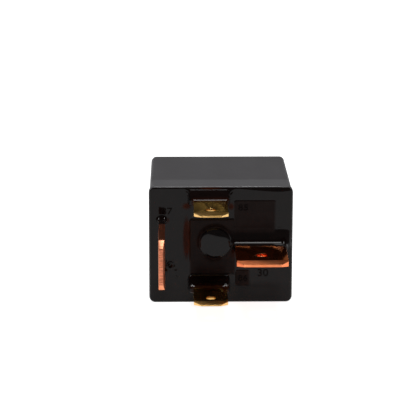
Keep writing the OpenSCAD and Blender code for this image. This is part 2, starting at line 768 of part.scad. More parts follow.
// Helix between the lug and the armature's heel, with a hooked end through each
module return_spring() {
    steps = 10;
    low = lug_y + lug_t + spring_rise;
    high = armature_y - spring_rise - 0.3;
    r = spring_d / 2;
    over = spring_wire_d / 2 + 0.04;
    bar = 0.75;
    lower = [[0, lug_y - over, bar], [0, lug_y - over, 0.12], [0, lug_y + 0.12, 0],
        [0, lug_y + lug_t + 0.25, 0], [r * 0.6, low - 0.25, 0]];
    turns = [for (i = [0 : spring_turns * steps]) let (a = 360 * i / steps)
        [r * cos(a), low + (high - low) * i / (spring_turns * steps), r * sin(a)]];
    upper = [[r * 0.6, high + 0.25, 0], [0, armature_y - 0.3, 0], [0, leaf_y - 0.12, 0],
        [0, leaf_y + over + 0.02, 0.12], [0, leaf_y + over + 0.02, bar]];
    color([0.7, 0.7, 0.72]) translate([spring_x, 0, coil_z])
        wire(concat(lower, turns, upper), spring_wire_d, [1, 0, 0]);
}

// Route of the braided lead from the foot of terminal 30 to the contact spring
// It rises beside the yoke's leg, bows outwards and turns over onto the leaf
braid_x = leaf_heel_x - 0.8;
braid_z = foot_top - 0.9;
braid_end_y = leaf_y + leaf_t + (pivot_x - braid_x + 1) * tan(open_angle) + 0.03;
braid_rise = pole_y - yoke_y;
braid_bow = braid_d / 2;
braid_drop = braid_z - coil_z - leaf_w / 2 + 1;
braid_route = [
    [braid_x, yoke_y, braid_z], [braid_x, yoke_y + 0.14 * braid_rise, braid_z],
    [braid_x, yoke_y + 0.4 * braid_rise, braid_z + 0.7 * braid_bow],
    [braid_x, yoke_y + 0.7 * braid_rise, braid_z + braid_bow],
    [braid_x, yoke_y + 0.93 * braid_rise, braid_z + 0.85 * braid_bow],
    [braid_x, leaf_y - leaf_t, braid_z + 0.3 * braid_bow],
    [braid_x, braid_end_y + 0.5 * braid_d, braid_z - 0.2 * braid_drop],
    [braid_x, braid_end_y + 0.9 * braid_d, braid_z - 0.55 * braid_drop],
    [braid_x, braid_end_y + 0.8 * braid_d, braid_z - 0.84 * braid_drop],
    [braid_x, braid_end_y + 0.4 * braid_d, braid_z - braid_drop],
    [braid_x, braid_end_y, braid_z - braid_drop]];

module braided_lead() {
    color([0.75, 0.4, 0.25]) wire(braid_route, braid_d, [1, 0, 0], 8);
}

module armature() {
    length = pivot_x - armature_tip_x;
    color([0.66, 0.67, 0.7])
    at_rest() difference() {
        union() {
            along_y(armature_y, armature_t) translate([armature_tip_x, coil_z - armature_w / 2])
                square([length - yoke_t - pass_gap, armature_w]);
            along_y(armature_y, armature_t)
                translate([pivot_x - yoke_t - 1, coil_z - yoke_w / 2 + ear_w + pass_gap])
                    square([yoke_t + 1, yoke_w - 2 * ear_w - 2 * pass_gap]);
            along_y(armature_y, armature_t) translate([pivot_x - 0.1, coil_z - heel_w / 2])
                square([heel_l + 0.1, heel_w]);
        }
        rod(spring_x, armature_y - 1, coil_z, hook_hole_d, armature_t + 2);
        armature_rivet_rods(rivet_d + 2 * hole_fit);
    }
}

// Places of the rivets that hold the contact spring to the armature
module armature_rivet_rods(d) {
    for (side = [-1, 1])
        rod(rivet_x, armature_y, coil_z + side * rivet_pitch / 2, d, armature_t + leaf_t);
}

module armature_rivets() {
    color([0.72, 0.72, 0.74])
    at_rest() {
        armature_rivet_rods(rivet_d);
        for (side = [-1, 1])
            rod(rivet_x, leaf_y + leaf_t, coil_z + side * rivet_pitch / 2,
                rivet_d + 2 * rivet_rim, rivet_head_h);
    }
}

// Leaf with a slot behind the contact, so that the contact end can give
module contact_spring() {
    tip_x = contact_x - moving_contact_d / 2;
    slot_x = contact_x + shank_d / 2 + 1.6;
    color([0.82, 0.6, 0.36])
    at_rest() difference() {
        along_y(leaf_y, leaf_t) difference() {
            union() {
                translate([tip_x + leaf_r, coil_z - leaf_w / 2])
                    square([leaf_heel_x - tip_x - leaf_r, leaf_w]);
                translate([tip_x, coil_z - leaf_w / 2 + leaf_r]) square([2 * leaf_r, leaf_w - 2 * leaf_r]);
                for (side = [-1, 1])
                    translate([tip_x + leaf_r, coil_z + side * (leaf_w / 2 - leaf_r)]) circle(leaf_r);
            }
            for (x = [0, leaf_slot_l]) translate([slot_x + x, coil_z]) circle(d = leaf_slot_w);
            translate([slot_x, coil_z - leaf_slot_w / 2]) square([leaf_slot_l, leaf_slot_w]);
        }
        rod(contact_x, leaf_y - 1, coil_z, shank_d + 2 * hole_fit, leaf_t + 2);
        armature_rivet_rods(rivet_d + 2 * hole_fit);
    }
}

cover();
base_plate();
resin_seal();
terminal_30();
terminal_87();
terminal_85();
terminal_86();
yoke();
yoke_rivets();
core();
bobbin();
winding();
coil_lead_85();
coil_lead_86();
fixed_contact();
back_stop();
return_spring();
braided_lead();
armature();
contact_spring();
armature_rivets();
moving_contact();
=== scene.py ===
# %% [markdown]
# # An automotive relay
# The relay is a small black box, sealed at its open side with black resin, and four
# blade terminals stand out of the resin. The measured solids are loaded first and stay
# fixed. Everything that follows only adds surfaces and finishes to them, so each piece
# fits without any trial and error.

# %% Load the measured solids
import json
import math

import bmesh
import bpy
import numpy as np
from mathutils import Matrix, Vector


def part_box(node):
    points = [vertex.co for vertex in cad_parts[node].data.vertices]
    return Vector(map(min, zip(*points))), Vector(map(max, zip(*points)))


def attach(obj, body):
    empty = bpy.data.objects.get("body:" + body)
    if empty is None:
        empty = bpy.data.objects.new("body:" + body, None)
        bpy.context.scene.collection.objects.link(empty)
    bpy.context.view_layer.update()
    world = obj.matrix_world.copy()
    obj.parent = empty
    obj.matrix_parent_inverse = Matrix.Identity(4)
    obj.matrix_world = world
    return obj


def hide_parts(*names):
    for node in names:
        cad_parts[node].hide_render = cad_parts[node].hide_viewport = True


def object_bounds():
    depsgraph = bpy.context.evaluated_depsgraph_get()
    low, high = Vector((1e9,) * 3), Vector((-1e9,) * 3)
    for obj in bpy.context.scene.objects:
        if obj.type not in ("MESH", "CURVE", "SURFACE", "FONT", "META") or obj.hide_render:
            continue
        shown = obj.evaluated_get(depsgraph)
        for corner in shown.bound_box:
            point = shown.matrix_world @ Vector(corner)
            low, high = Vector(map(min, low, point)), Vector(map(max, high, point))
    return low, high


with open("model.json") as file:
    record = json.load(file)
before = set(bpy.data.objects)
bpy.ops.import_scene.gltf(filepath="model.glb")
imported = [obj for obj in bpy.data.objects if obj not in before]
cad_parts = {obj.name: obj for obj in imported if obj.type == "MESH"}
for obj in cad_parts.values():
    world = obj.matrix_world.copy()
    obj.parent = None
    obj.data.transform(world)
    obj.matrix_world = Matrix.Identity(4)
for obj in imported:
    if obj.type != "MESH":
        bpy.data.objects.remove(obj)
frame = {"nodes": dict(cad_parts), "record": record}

solid_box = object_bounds()
mm = 0.001
nodes = frame["nodes"]
print("solids:", len(nodes), "box in mm:", [[round(v / mm, 2) for v in corner] for corner in solid_box])

# %% [markdown]
# ## Camera
# The relay lies on its long side and is seen from the blades' side, a little from above,
# through a long lens. A camera is a point, a direction and a lens. Here the direction is
# given as a turn and a height, and the point is a distance back along it, because those
# numbers can be changed one at a time.

# %% Camera
view_turn, view_height, view_roll = (math.radians(v) for v in (-1.118, 15.316, 0.102))
view_distance, aside, above = 367.83 * mm, -2.41 * mm, 6.927 * mm

back = Vector((math.sin(view_turn) * math.cos(view_height),
               -math.cos(view_turn) * math.cos(view_height), math.sin(view_height)))
right = (-back).cross(Vector((0, 0, 1))).normalized()
up = back.cross(right)
rolled_right = math.cos(view_roll) * right + math.sin(view_roll) * up
rolled_up = -math.sin(view_roll) * right + math.cos(view_roll) * up

lens = bpy.data.cameras.new("product_camera")
lens.sensor_width = 36
lens.lens = 168.7
lens.clip_start, lens.clip_end = 0.01, 20
camera = bpy.data.objects.new("product_camera", lens)
bpy.context.scene.collection.objects.link(camera)
camera.matrix_world = Matrix.Translation(back * view_distance + rolled_right * aside + rolled_up * above) \
    @ Matrix((rolled_right, rolled_up, back)).transposed().to_4x4()
bpy.context.scene.camera = camera
print("camera at mm:", [round(v / mm, 1) for v in camera.matrix_world.translation])

# %% [markdown]
# ## Helpers for finishes
# A finish is a small graph of nodes that ends in one Principled shader. The first two
# helpers below start such a graph and add a node to it. The others are the few steps that
# nearly every finish repeats, so that each finish reads as a short list.

# %% Helpers for node graphs
def new_finish(name, **sockets):
    """An empty material with one Principled shader; sockets are the shader's plain values."""
    finish = bpy.data.materials.new(name)
    finish.use_nodes = True
    graph = finish.node_tree
    graph.nodes.clear()
    shader = graph.nodes.new("ShaderNodeBsdfPrincipled")
    for socket, value in sockets.items():
        shader.inputs[socket.replace("_", " ")].default_value = value
    end = graph.nodes.new("ShaderNodeOutputMaterial")
    graph.links.new(shader.outputs[0], end.inputs["Surface"])
    return finish, graph, shader


def add(graph, kind, feeds=None, **settings):
    """A node of that kind; feeds maps its inputs to other nodes' outputs or to plain values."""
    node = graph.nodes.new("ShaderNode" + kind)
    for key, value in settings.items():
        setattr(node, key, value)
    for key, value in (feeds or {}).items():
        if isinstance(value, bpy.types.NodeSocket):
            graph.links.new(value, node.inputs[key])
        else:
            node.inputs[key].default_value = value
    return node


def place(graph, stretch=(1, 1, 1)):
    """The point on the piece in its own metres, stretched along the three axes."""
    spot = add(graph, "TexCoord").outputs["Object"]
    return add(graph, "Mapping", {"Vector": spot, "Scale": stretch}).outputs[0]


def noise(graph, where, size, detail=3.0, rough=0.5):
    """Soft noise whose blobs are about size metres wide."""
    return add(graph, "TexNoise", {"Vector": where, "Scale": 1 / size, "Detail": detail,
                                   "Roughness": rough}).outputs["Fac"]


def steps(graph, value, *stops):
    """A colour ramp: each stop is (position, colour), and a plain number is a grey."""
    node = add(graph, "ValToRGB", {"Fac": value})
    ramp = node.color_ramp
    while len(ramp.elements) < len(stops):
        ramp.elements.new(0.5)
    for element, (position, colour) in zip(ramp.elements, stops):
        element.position = position
        element.color = (colour,) * 3 + (1,) if isinstance(colour, (int, float)) else (*colour, 1)
    return node.outputs["Color"]


def between(graph, value, low, high):
    """value from 0..1 spread to low..high."""
    return add(graph, "MapRange", {"Value": value, "To Min": low, "To Max": high}).outputs[0]


def relief(graph, height, depth, under=None):
    """Bump of that depth in metres, on top of another bump if under is given."""
    feeds = {"Height": height, "Distance": depth, "Strength": 1.0}
    if under is not None:
        feeds["Normal"] = under
    return add(graph, "Bump", feeds).outputs[0]


def mixed(graph, share, first, second):
    """Colour first, going to colour second where share is 1. A colour may be three plain numbers."""
    first, second = (c if isinstance(c, bpy.types.NodeSocket) else (*c, 1) for c in (first, second))
    return add(graph, "Mix", {0: share, 6: first, 7: second}, data_type="RGBA").outputs[2]


def mixed_value(graph, share, first, second):
    """Number first, going to number second where share is 1."""
    return add(graph, "Mix", {0: share, 2: first, 3: second}, data_type="FLOAT").outputs[0]


def maths(graph, operation, first, second):
    """One sum on two numbers, such as MULTIPLY or MAXIMUM."""
    return add(graph, "Math", {0: first, 1: second}, operation=operation).outputs[0]


def wire(graph, shader, **feeds):
    """Links graph outputs to the shader's sockets."""
    for socket, value in feeds.items():
        graph.links.new(value, shader.inputs[socket.replace("_", " ")])


print("finish helpers ready")

# %% [markdown]
# ## Black moulded plastic of the case
# The case is injection-moulded nylon. Its mould is spark-eroded, which leaves a very fine
# grain, so the black looks grey and soft where light grazes it. Two sizes of noise do
# this: a fine one for the grain, and a wide one for how evenly the plastic has flowed.
# The first few millimetres behind the rim are painted lighter, which is painted sheen
# from the light along the front of the case, and the rim itself has been rubbed smooth.

# %% Finish: case plastic
case_finish, graph, shader = new_finish("case_plastic", IOR=1.5)
spot = place(graph)
grain = noise(graph, spot, 0.16 * mm, 2.0)
flow = noise(graph, place(graph, (1, 0.35, 1)), 6 * mm, 3.0)
from_rim = add(graph, "SeparateXYZ", {0: spot}).outputs["Y"]
# Painted sheen: the case is painted lighter in the first few millimetres behind the rim
painted_sheen_mask = add(graph, "MapRange", {"Value": from_rim, "From Min": 6.3 * mm, "From Max": 5.5 * mm}).outputs[0]
rubbed = add(graph, "MapRange", {"Value": from_rim, "From Min": 0.45 * mm, "From Max": 0.2 * mm}).outputs[0]
plain = steps(graph, flow, (0.3, (0.096, 0.092, 0.097)), (0.7, (0.107, 0.103, 0.109)))
# Lighter colour of the painted sheen behind the rim
painted_sheen_colour = steps(graph, flow, (0.3, (0.129, 0.126, 0.132)), (0.7, (0.141, 0.138, 0.145)))
wire(graph, shader,
     Base_Color=mixed(graph, painted_sheen_mask, plain, painted_sheen_colour),
     Roughness=mixed_value(graph, rubbed, between(graph, flow, 0.46, 0.54), 0.24),
     Normal=relief(graph, grain, 0.012 * mm))
print("finish:", case_finish.name)

# %% [markdown]
# ## Case
# The case is a box with rounded edges, a thicker bead round its rim and walls that lean in
# a little so that it leaves its mould. Its shape is one closed profile that is carried
# round a rounded rectangle: each ring of the grid has the same number of points, and the
# profile only says how far the ring is pulled in, how round its corners are and how deep
# it lies. The grid gives the edges real radii, which catch a thin line of light.

# %% Case surface
def rounded_ring(half_x, half_z, radius, along_side=10, along_corner=10):
    """Points of a rounded rectangle, anticlockwise from +X, as an array of (x, z) pairs.
    Each corner is a quarter circle about a centre that lies radius inside both sides, and
    each side is a straight run between two quarter circles."""
    points = []
    for quarter, (sx, sz) in enumerate(((1, 1), (-1, 1), (-1, -1), (1, -1))):
        angle = math.pi / 2 * (quarter + np.linspace(0, 1, along_corner + 1))
        arc = np.stack([sx * (half_x - radius) + radius * np.cos(angle),
                        sz * (half_z - radius) + radius * np.sin(angle)], -1)
        points.append(arc)
    ring = []
    for quarter in range(4):
        arc, following = points[quarter], points[(quarter + 1) % 4]
        share = np.linspace(0, 1, along_side + 1)[1:-1, None]
        ring += [arc, arc[-1] * (1 - share) + following[0] * share]
    return np.concatenate(ring)


def piece_from_grid(name, grid, loop_rows=False, caps=False):
    """A mesh from a grid of points, rows by columns. Columns close on themselves;
    rows do too if loop_rows, and otherwise caps closes the first and the last row."""
    rows, columns = grid.shape[:2]
    index = np.arange(rows * columns).reshape(rows, columns)
    upper = index if loop_rows else index[:-1]
    lower = np.roll(index, -1, 0) if loop_rows else index[1:]
    faces = np.stack([upper, np.roll(upper, -1, 1), np.roll(lower, -1, 1), lower], -1).reshape(-1, 4)
    faces = faces.tolist()
    if caps:
        faces += [index[0][::-1].tolist(), index[-1].tolist()]
    return piece_from_faces(name, grid.reshape(-1, 3), faces)


def piece_from_faces(name, points, faces):
    """A mesh object at the origin; its faces are turned outwards if its volume is negative."""
    mesh = bpy.data.meshes.new(name)
    mesh.from_pydata(np.asarray(points, float).tolist(), [], faces)
    shape = bmesh.new()
    shape.from_mesh(mesh)
    if shape.calc_volume(signed=True) < 0:
        bmesh.ops.reverse_faces(shape, faces=shape.faces)
    shape.to_mesh(mesh)
    shape.free()
    mesh.polygons.foreach_set("use_smooth", np.ones(len(mesh.polygons), bool))
    mesh.update()
    piece = bpy.data.objects.new(name, mesh)
    bpy.context.scene.collection.objects.link(piece)
    return piece


def dress(piece, finish, replaced=(), body="relay_body"):
    """Gives a piece its finish and its body, and hides the solids that it stands in for."""
    piece.data.materials.clear()
    piece.data.materials.append(finish)
    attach(piece, body)
    if replaced:
        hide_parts(*replaced)
    print(f"piece: {piece.name}, {len(piece.data.polygons)} faces")
    return piece


def quarter_turn(centre, radius, start, end, count=6):
    """Profile points (pulled in, depth) on an arc about centre, from one angle to another."""
    angle = np.radians(np.linspace(start, end, count))
    return [(centre[0] + radius * math.cos(a), centre[1] + radius * math.sin(a)) for a in angle]


low, high = (np.array(corner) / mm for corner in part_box("cover"))
rim_half = (high - low)[[0, 2]] / 2
depth = high[1]
wall, end_wall, bead, draft, end_round, corner = 1.2, 1.2, 0.15, 0.17, 0.7, 1.2
lip_round, rim_round, step_round, step_at = 0.12, 0.15, 0.12, 1.02
inner_corner, least_corner, corner_loss = 0.4, 0.3, 0.55
lean = bead + draft

# Inner wall, whose first ring is doubled so that the end's shading doesn't run into the wall's
profile = [(wall, depth - end_wall)]
profile += [(wall, y) for y in np.linspace(depth - end_wall, 0.25, 12)]
inner_rows = len(profile) + 1
# Rim, the bead's side, and the round step behind the bead
profile += quarter_turn((wall - lip_round, lip_round), lip_round, 0, -90, 4)
profile += quarter_turn((rim_round, rim_round), rim_round, -90, -180, 6)
profile += [(0, 0.6), (0, 1.0)] + quarter_turn((step_round, step_at), step_round, 180, 90, 4)[1:]
# Outer wall with its draft, the round edge of the closed end, and two rings on the end itself
profile += [(bead + draft * y / depth, y) for y in np.linspace(1.3, depth - end_round, 16)]
profile += quarter_turn((lean + end_round, depth - end_round), end_round, 180, 90, 8)[1:]
profile += [(lean + end_round + inward, depth) for inward in (1.2, 4.5)]

rings = []
for row, (pulled_in, y) in enumerate(profile):
    ring_corner = inner_corner if row < inner_rows else max(corner - pulled_in * corner_loss, least_corner)
    rings.append(np.insert(rounded_ring(*(rim_half - pulled_in), ring_corner), 1, y, axis=1))
case = piece_from_grid("case", np.array(rings) * mm, caps=True)
dress(case, case_finish, ["cover"])

# %% [markdown]
# ## Black potting resin
# After assembly the open side is filled with liquid epoxy, right up to the rim. It sets as
# a glossy black surface that shows how the liquid behaved: it wets the rim in a thin film,
# swells round the narrow blades in fat drops, climbs the wide ones in a hollow curve,
# drapes softly over the raised pads beneath it, and keeps a few burst bubbles. The surface
# is a height above a flat face, so it is a function of two directions, and each of those
# habits is one term that is added to it. The grid is packed closer where it is steep.

# %% Resin: measurements
seal_back = np.array(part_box("resin_seal")[1])[1] / mm
face_y = 0.0
film, rim_edge = 0.14, 0.16
film_x, film_z = rim_half - rim_edge


def points_of(mesh):
    """All points of a mesh as one array of (x, y, z)."""
    flat = np.empty(3 * len(mesh.vertices))
    mesh.vertices.foreach_get("co", flat)
    return flat.reshape(-1, 3)


def section(node):
    """Centre and half size (x, z) of the part of a node that stands more than 2 mm out of the case."""
    points = points_of(nodes[node].data) / mm
    out = points[points[:, 1] < -2]
    lowest, highest = out.min(0)[[0, 2]], out.max(0)[[0, 2]]
    return (lowest + highest) / 2, (highest - lowest) / 2


blades = {name: section(name) for name in ("terminal_85", "terminal_86", "terminal_30", "terminal_87")}
boss_at, boss_radius, boss_top = np.array((-1.05, 0.6)), 3.15, -0.9
for name, (centre, half) in blades.items():
    print(name, "centre", centre.round(2), "half size", half.round(2))

# %% [markdown]
# The grid runs over the whole face. Its columns are stretched with the rounded outline, so
# its sides follow the case's corners, and both directions are packed near the blades.

# %% Resin: the grid
def packed(low_end, high_end, count, edges, pull, reach):
    """count positions from low_end to high_end, closer together near each of edges.
    Positions are spread so that each gap holds the same share of a density, which is 1
    everywhere plus a bell of height pull and width reach at each edge."""
    fine = np.linspace(low_end, high_end, 4000)
    density = 1 + sum(pull * np.exp(-((fine - edge) / reach) ** 2) for edge in edges)
    share = np.cumsum(density)
    share = (share - share[0]) / (share[-1] - share[0])
    return np.interp(np.linspace(0, 1, count), share, fine)


edges_x = [c[0] + side * h[0] for c, h in blades.values() for side in (-1, 1)]
edges_z = [c[1] + side * h[1] for c, h in blades.values() for side in (-1, 1)]
across = packed(-1, 1, 305, [x / film_x for x in edges_x], 4.0, 0.06)
upwards = packed(-film_z, film_z, 280, edges_z + [-film_z, film_z], 4.0, 0.4)
film_corner = 1.0
beyond = np.clip(np.abs(upwards) - (film_z - film_corner), 0, film_corner)
half_width = film_x - film_corner + np.sqrt(film_corner ** 2 - beyond ** 2)
X = across[None, :] * half_width[:, None]
Z = np.repeat(upwards[:, None], len(across), 1)
print("resin grid:", X.shape)

# %% [markdown]
# Each habit of the liquid has a formula of its own. A drop is round and ends sharply. A
# hollow climb falls by the same share over each stretch, so it never quite ends. A pad is
# a step with soft sides. All of them need only the distance to a rectangle or to a point.

# %% Resin: shapes of liquid
drops = {"terminal_85": (3.05, 1.3), "terminal_86": (3.45, 1.5)}
menisci = {"terminal_30": (1.4, 0.23), "terminal_87": (0.3, 0.5)}
heap_shift, heap_wider, heap_sideways, heap_below, heap_soft = -0.19, 0.48, 3.6, 1.8, 0.3


def box_distance(centre, half, soft=0.15):
    """How far each grid point lies outside a rectangle with softly rounded corners."""
    dx = np.abs(X - centre[0]) - half[0] + soft
    dz = np.abs(Z - centre[1]) - half[1] + soft
    outside = np.hypot(np.maximum(dx, 0), np.maximum(dz, 0))
    return outside + np.minimum(np.maximum(dx, dz), 0) - soft


def foot_distance(centre, half):
    """Distance from a blade for liquid that lies heaped on its upper side and is thin beside it.
    The heap is wider than the blade, and its middle lies a little to one side. Distances
    sideways and below count several times over, so the liquid ends sooner there."""
    dx = (np.abs(X - centre[0] - heap_shift) - half[0] - heap_wider) * heap_sideways + heap_soft
    above, under = Z - centre[1] - half[1], (centre[1] - Z - half[1]) * heap_below
    dz = np.maximum(above, under) + heap_soft
    return np.hypot(np.maximum(dx, 0), np.maximum(dz, 0)) + np.minimum(np.maximum(dx, dz), 0) - heap_soft


def drop(distance, rise, reach):
    """A fat drop round a blade: nearly flat beside the blade and steep at its foot.
    It is like a quarter of a circle, but its powers 3/2 and 4/5 make a sharper brow."""
    share = np.clip(distance / reach, 0, 1)
    return rise * (1 - share ** 1.5) ** 0.8


def meniscus(distance, rise, fade):
    """A hollow climb: the height falls to a third each time the distance grows by fade."""
    return rise * np.exp(-np.maximum(distance, 0) / fade)


def ease(low_value, high_value, value):
    """0 below low_value, 1 above high_value, and a smooth S between."""
    t = np.clip((value - low_value) / (high_value - low_value), 0, 1)
    return t * t * (3 - 2 * t)


def pad(x0, x1, z0, z1, rise, soft=0.45):
    """A raised pad with soft sides, drowned in the resin."""
    distance = box_distance(((x0 + x1) / 2, (z0 + z1) / 2), ((x1 - x0) / 2, (z1 - z0) / 2), 0.3)
    return rise * ease(soft / 2, -soft / 2, distance)


def around(centre):
    """Distance of each grid point from a point."""
    return np.hypot(X - centre[0], Z - centre[1])


print("shapes of liquid ready, fat drops at", *drops, "and hollow climbs at", *menisci)

# %% [markdown]
# Two blades have a low slope beside their climb as well: the liquid leans on the upper side
# of terminal 30, and it fills the narrow gap between terminal 85 and the rim with a ramp.
# All climbs are joined by the root of the sum of their squares, which is a soft maximum:
# liquid leaves no crease where two of them meet.

# %% Resin: climbs and ramp
collar_slope, collar_reach, ramp_slope = 0.16, 2.9, 0.22
boss_climb, boss_fade = 0.5, 0.16

rim_gap = np.minimum(film_x - np.abs(X), film_z - np.abs(Z))
centre, half = blades["terminal_30"]
collar = {"terminal_30": collar_slope * np.clip(collar_reach - box_distance(centre, half, 0.4), 0, collar_reach)
          * ease(-0.6, 0.6, Z - centre[1])}
centre, half = blades["terminal_85"]
blade_top = centre[1] + half[1]
ramp_edge = half[0] + 0.2 + 1.7 * np.clip((Z - blade_top) / (film_z - blade_top), 0, 1)
collar["terminal_85"] = ramp_slope * np.clip(film_z - Z, 0, film_z - blade_top) \
    * ease(0.4, -0.5, np.abs(X - centre[0]) - ramp_edge) * ease(-0.5, 0.0, Z - blade_top)

lift = np.zeros_like(X)
for name, (rise, reach) in drops.items():
    lift += (drop(foot_distance(*blades[name]), rise, reach) + collar.get(name, 0)) ** 2
for name, (rise, fade) in menisci.items():
    lift += (meniscus(box_distance(*blades[name]), rise, fade) + collar.get(name, 0)) ** 2
lift += meniscus(around(boss_at) - boss_radius, boss_climb, boss_fade) ** 2
height = np.sqrt(lift) * ease(0.0, 0.45, rim_gap)
print("climbs mm:", height.max().round(2))

# %% [markdown]
# Where a heap turns a blade's corner its brow is flatter, so its line of light ends in a
# spot. A fat drop gets a dimple there, and a hollow climb a small swelling. Each is a bell:
# its height falls with the square of the distance, in the exponent.

# %% Resin: corners of the heaps
lobe_width = 0.35
# Sideways of the blade's left and right end, above its upper side, and height
lobes = {"terminal_85": (-0.50, 0.15, 0.22, -0.04), "terminal_86": (-0.40, 0.0, 0.24, -0.08),
         "terminal_30": (-0.40, -0.30, 0.42, 0.22)}
for name, (from_left, from_right, above_blade, lobe) in lobes.items():
    centre, half = blades[name]
    for lobe_x in (centre[0] - half[0] + from_left, centre[0] + half[0] + from_right):
        lobe_z = centre[1] + half[1] + above_blade
        height += lobe * np.exp(-(around((lobe_x, lobe_z)) / lobe_width) ** 2)
print("heaps with shaped corners:", len(lobes))

# %% [markdown]
# The base plate beneath has raised pads, and the resin over them is raised as well. The
# film itself thins out to nothing at the outer edges, over a wider strip at the upper
# right, where it ran down a little before it set. Slow waves of a hundredth of a
# millimetre keep the flat parts from looking like glass.

# %% Resin: pads and film
core_rise, number_rise, small_rise = 0.13, 0.10, 0.07
core_pad = pad(-5.82, 2.68, -5.7, 5.02, core_rise)
centre, half = blades["terminal_30"]
number_pad = np.maximum(pad(2.55, 10.2, centre[1], 8.6, number_rise, 0.3),
                        pad(2.55, 12.5, centre[1], centre[1] + half[1] + 1.3, number_rise, 1.0))
small_pad = pad(2.87, 5.42, -8.08, -5.0, small_rise, 0.3)
height += np.maximum(core_pad, np.maximum(number_pad, small_pad))

strip = 0.28
upper_strip = 0.22 + 0.75 * ease(2.0, 11.0, X) * (1 - 0.35 * ease(11.5, 13.3, X))
film_share = np.minimum(np.minimum((film_z - Z) / upper_strip, (Z + film_z) / strip), (film_x - np.abs(X)) / strip)
height += film * np.clip(film_share, 0, 1) ** 0.9
height += 0.009 * np.sin(X / 1.9 + 0.7 * np.sin(Z / 2.3)) * np.sin(Z / 2.7 + 1.1) * ease(0, 1, rim_gap)
print("resin height mm:", height.min().round(2), height.max().round(2))

# %% [markdown]
# Bubbles come last. A closed bubble is a shallow dome, and a burst one is a pit with a
# raised lip, which is a ring-shaped bell with a second bell taken out of its middle.

# %% Resin: bubbles and pits
# Centre, radius and height
domes = [((-11.1, 4.75), 1.15, 0.30), ((-11.75, 4.95), 0.50, 0.45), ((-10.55, 5.05), 0.45, 0.42),
         ((-8.37, -6.25), 0.32, 0.12), ((-8.84, -2.99), 0.28, 0.10), ((-6.9, 7.3), 0.4, 0.07)]
pits = [((-9.55, -3.97), 0.55, 0.16), ((-8.45, -4.76), 0.30, 0.08)]
for centre, radius, rise in domes:
    height += rise * np.clip(1 - (around(centre) / radius) ** 2, 0, 1) ** 1.5
for centre, radius, rise in pits:
    lip = rise * np.exp(-((around(centre) - radius) / (0.3 * radius)) ** 2)
    hollow = 1.2 * rise * np.exp(-(around(centre) / (0.6 * radius)) ** 2)
    height += lip - hollow
print("bubbles:", len(domes), "pits:", len(pits))

# %% [markdown]
# Over a pad the resin is brown and a little more matt. Elsewhere it has orange-brown
# patches, which are painted reflections of the copper and brass blades. Both are fixed to
# the place and not to the camera, so they are worked out here for each point, as two numbers from 0 to 1.

# %% Resin: painted reflections and pads
# Centre, half width and half height of an oval, the share of it that is full, and how strong its painted reflection is
reflection_ovals = [((-6.4, 7.6), (1.1, 0.9), 0.3, 1.0), ((1.9, 7.5), (0.8, 0.9), 0.3, 1.0),
              ((2.6, -1.6), (1.3, 1.4), 0.2, 0.6), ((-9.95, 4.9), (0.4, 0.6), 0.2, 0.7),
              ((-2.0, 11.2), (2.9, 0.55), 0.2, 0.9)]


def oval(centre, half, core):
    """1 inside the core of an oval, falling to 0 at its outline."""
    return ease(1.0, core, np.hypot((X - centre[0]) / half[0], (Z - centre[1]) / half[1]))


# Painted reflections of the blades in the resin: a stripe of copper left of the core pad, patches near the blades and
# under the top rim, and a rim round each fat drop
painted_reflection = oval((-6.45, 1.35), (0.85, 5.0), 0.55) * ease(-5.75, -6.0, X)
for centre, half, core, share in reflection_ovals:
    painted_reflection += share * oval(centre, half, core)
for name in drops:
    painted_reflection += 0.55 * ease(0.7, 0.0, box_distance(*blades[name]))
painted_reflection = np.clip(painted_reflection, 0, 1)
drowned = np.maximum(core_pad / core_rise, np.maximum(number_pad / number_rise, small_pad / small_rise))
drowned = np.clip(drowned, 0, 1) * (1 - ease(0.0, 0.2, collar["terminal_30"]))
print("share that glows:", painted_reflection.mean().round(3), "share over pads:", drowned.mean().round(3))

# %% [markdown]
# The height becomes a mesh: a front from the grid, a straight skirt along its border and a
# flat back. The two numbers are kept on the mesh as attributes, which the finish then reads.

# %% Resin: front, skirt and back
rows, columns = X.shape
front = np.stack([X, face_y - height, Z], -1).reshape(-1, 3)
index = np.arange(rows * columns).reshape(rows, columns)
quads = np.stack([index[:-1, :-1], index[:-1, 1:], index[1:, 1:], index[1:, :-1]], -1).reshape(-1, 4)
border = np.concatenate([index[0], index[1:, -1], index[-1, -2::-1], index[-2:0:-1, 0]])
behind = front[border].copy()
behind[:, 1] = seal_back
rear = np.arange(len(border)) + rows * columns
skirt = np.stack([np.roll(border, -1), border, rear, np.roll(rear, -1)], -1)
resin = piece_from_faces("potting_resin", np.concatenate([front, behind]) * mm,
                         quads.tolist() + skirt.tolist() + [rear.tolist()])
for label, values in (("painted_reflection", painted_reflection), ("drowned_pad", drowned)):
    layer = resin.data.attributes.new(label, "FLOAT", "POINT")
    layer.data.foreach_set("value", np.concatenate([values.ravel(), values.ravel()[border]]).astype(np.float32))

# %% [markdown]
# The finish is a glossy black that goes to brown over the pads and to orange-brown where
# reflections of the blades are painted in. There it mirrors less, so that the painted reflections aren't drowned in
# real ones.

# %% Finish: resin
resin_finish, graph, shader = new_finish("resin", IOR=1.5)
# Share of painted reflection of the blades at each point
reflection_share = add(graph, "Attribute", attribute_name="painted_reflection").outputs["Fac"]
padded = add(graph, "Attribute", attribute_name="drowned_pad").outputs["Fac"]
spot = place(graph)
cloud = noise(graph, spot, 1.6 * mm, 4.0)
ripple = noise(graph, spot, 1.1 * mm, 2.0)
black = steps(graph, cloud, (0.35, (0.0060, 0.0034, 0.0030)), (0.7, (0.0090, 0.0048, 0.0042)))
brown = steps(graph, cloud, (0.35, (0.019, 0.0125, 0.0115)), (0.7, (0.025, 0.0165, 0.0150)))
